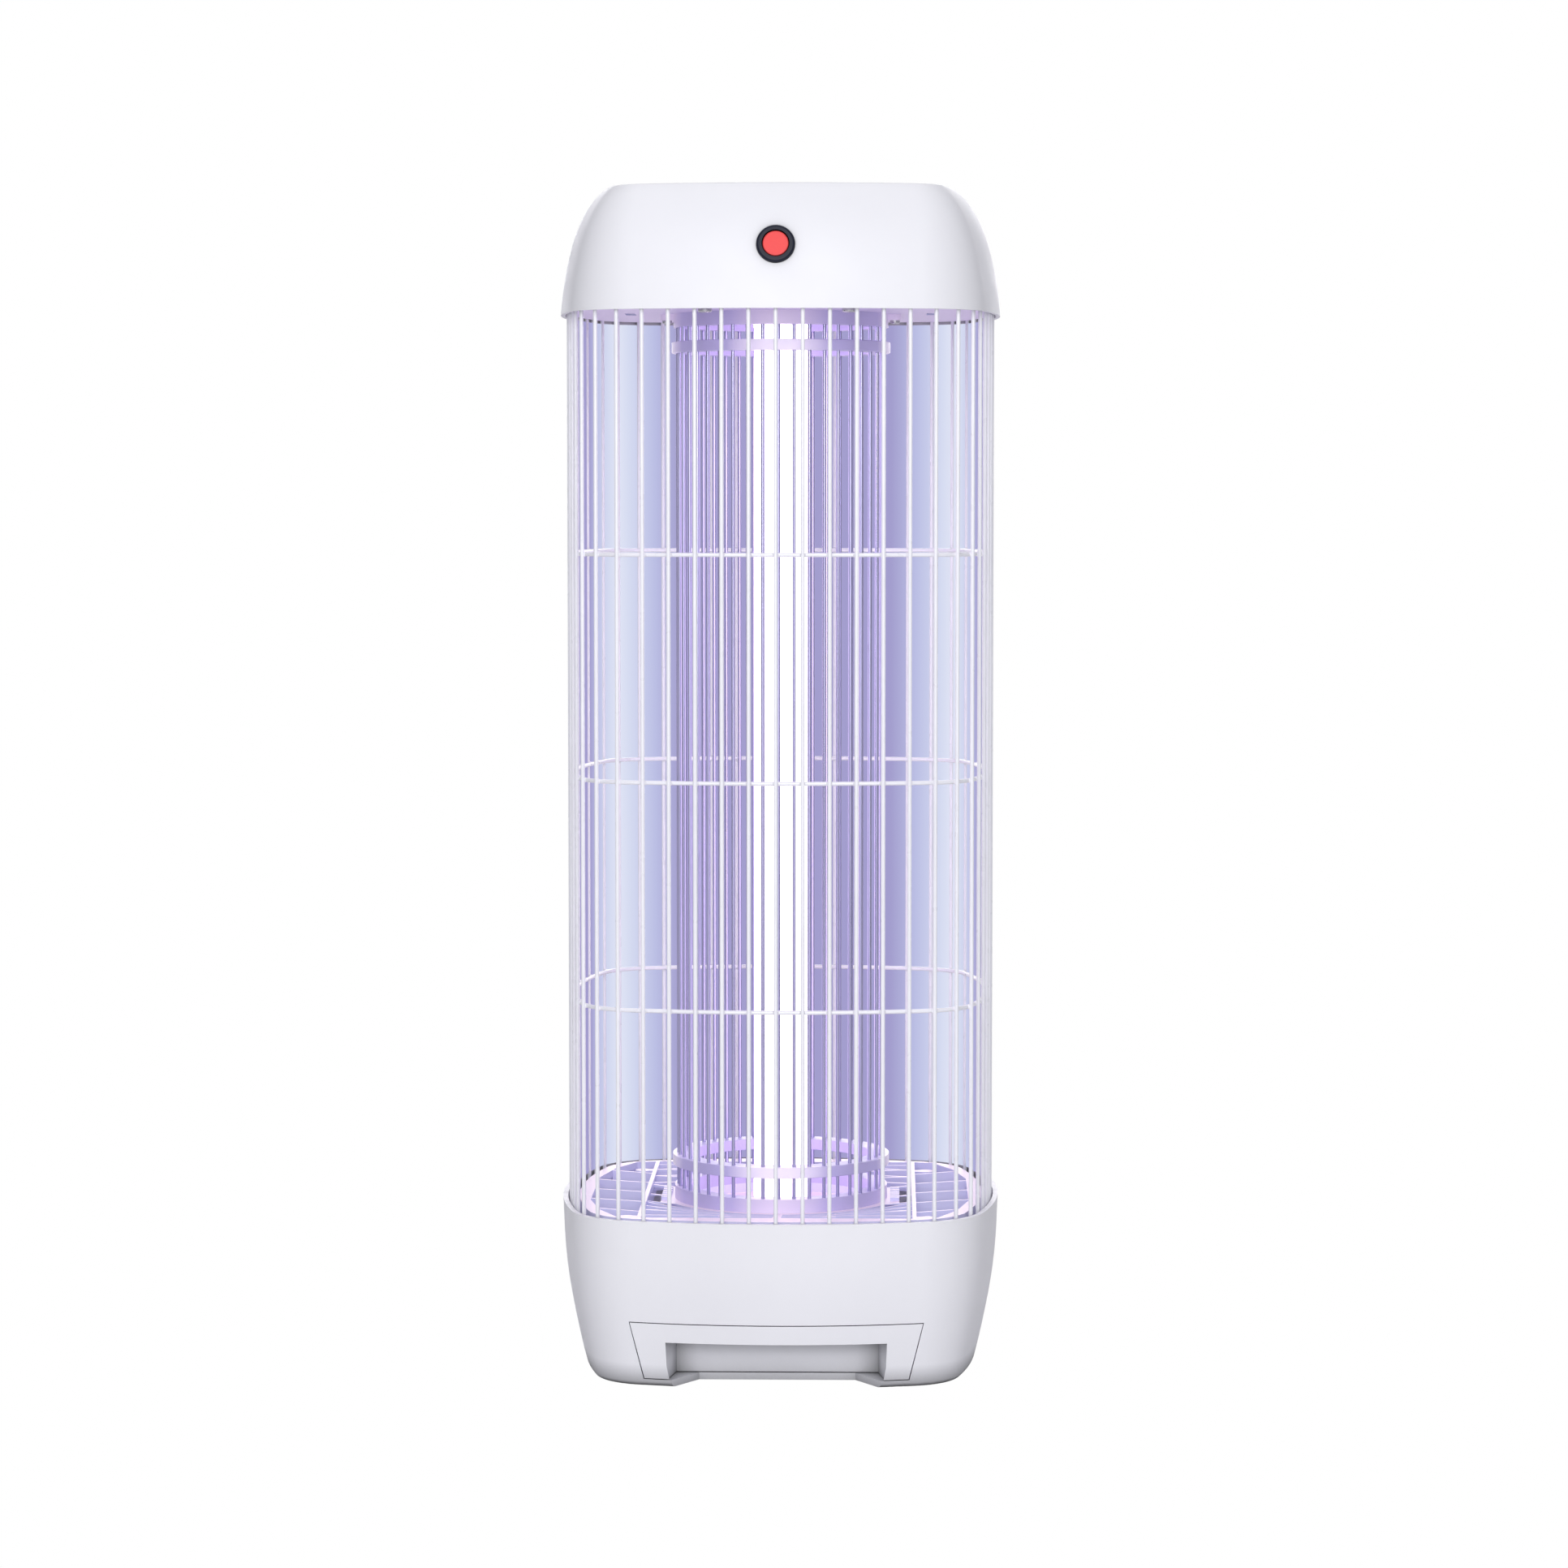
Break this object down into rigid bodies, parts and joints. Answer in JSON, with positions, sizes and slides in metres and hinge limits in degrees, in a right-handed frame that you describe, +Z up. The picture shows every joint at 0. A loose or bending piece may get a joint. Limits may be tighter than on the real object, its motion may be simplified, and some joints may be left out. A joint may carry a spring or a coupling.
{
  "type": "electric insect killer",
  "caption": "Free-standing electric insect killer: a wire cage and rod grid round an upright ultraviolet lamp, with a pull-out drawer below and a push switch on the cap.",
  "frame": {"origin": "centre of the underside, on the surface it stands on", "axes": "+Z up, the front with the switch and the drawer faces -Y, +X to the right of a viewer in front"},
  "size_m": [0.214, 0.214, 0.5688],
  "materials": {
    "shell_white": "satin moulded plastic",
    "drawer_white": "satin moulded plastic",
    "grate_pale": "satin moulded plastic",
    "plate_pale": "satin moulded plastic",
    "guard_enamel": "white enamel",
    "grid_wire": "bright drawn wire",
    "ring_plastic": "translucent-looking plastic",
    "collar_plastic": "satin",
    "bus_metal": "bright",
    "lamp_glass": "phosphor-coated tube",
    "lamp_cap_metal": "satin",
    "pin_brass": "bright",
    "electrode_glass": "clear glass and wire",
    "holder_plastic": "heat-resisting plastic",
    "screw_steel": "zinc plated",
    "bezel_black": "gloss",
    "button_red": "gloss",
    "switch_body": "matt",
    "terminal_metal": "tinned",
    "spring_steel": "bright spring wire",
    "gland_plastic": "matt",
    "board_green": "solder-masked board",
    "ferrite": "matt ferrite",
    "winding_copper": "enamelled copper",
    "capacitor_sleeve": "sleeved can",
    "component_black": "moulded case",
    "film_capacitor": "dipped film",
    "resistor_body": "lacquered",
    "block_plastic": "matt",
    "fuse_glass_clear": "clear",
    "lead_insulation": "pvc insulation",
    "lead_insulation_dark": "pvc insulation"
  },
  "bodies": {
    "housing": {"base_shell": "shell_white", "cap_shell": "shell_white", "base_grate": "grate_pale", "cap_floor_plate": "plate_pale", "guard_wires": "guard_enamel", "guard_hoop_base": "guard_enamel", "guard_hoop_lower": "guard_enamel", "guard_hoop_middle": "guard_enamel", "guard_hoop_upper": "guard_enamel", "guard_hoop_cap": "guard_enamel", "grid_rods_live": "grid_wire", "grid_rods_return": "grid_wire", "grid_ring_lower": "ring_plastic", "grid_ring_upper": "ring_plastic", "grid_collar_lower": "collar_plastic", "grid_collar_upper": "collar_plastic", "collar_screws": "screw_steel", "live_bus_ring": "bus_metal", "return_bus_ring": "bus_metal", "lamp_tube": "lamp_glass", "lamp_end_cap_lower": "lamp_cap_metal", "lamp_end_cap_upper": "lamp_cap_metal", "lamp_pins_lower": "pin_brass", "lamp_pins_upper": "pin_brass", "lamp_electrode_lower": "electrode_glass", "lamp_electrode_upper": "electrode_glass", "lampholder_lower": "holder_plastic", "lampholder_upper": "holder_plastic", "holder_screws": "screw_steel", "grate_screws": "screw_steel", "plate_screws": "screw_steel", "board_screws": "screw_steel", "switch_housing": "bezel_black", "switch_spring": "spring_steel", "switch_nut": "switch_body", "switch_contacts": "switch_body", "switch_terminals": "terminal_metal", "cable_gland": "gland_plastic", "gland_nut": "gland_plastic", "ballast_board": "board_green", "multiplier_board": "board_green", "choke_core": "ferrite", "choke_winding": "winding_copper", "ballast_capacitor": "capacitor_sleeve", "ballast_transistors": "component_black", "multiplier_capacitors": "film_capacitor", "multiplier_diodes": "component_black", "discharge_resistors": "resistor_body", "terminal_block": "block_plastic", "terminal_clamps": "terminal_metal", "fuse_glass": "fuse_glass_clear", "fuse_ends": "terminal_metal", "switch_leads": "lead_insulation", "board_leads": "lead_insulation_dark", "lamp_leads": "lead_insulation", "grid_leads": "lead_insulation_dark"},
    "drawer": {"insect_drawer": "drawer_white"},
    "button": {"switch_button": "button_red"}
  },
  "joints": [
    {"name": "drawer_slide", "type": "slide", "parent": "housing", "child": "drawer", "axis": [0, -1, 0], "range_m": [0, 0.15]},
    {"name": "switch_press", "type": "slide", "parent": "housing", "child": "button", "axis": [0, 0.9703, -0.2419], "range_m": [0, 0.0025], "stiffness_N_per_m": 800, "deforming": ["switch_spring"]}
  ]
}
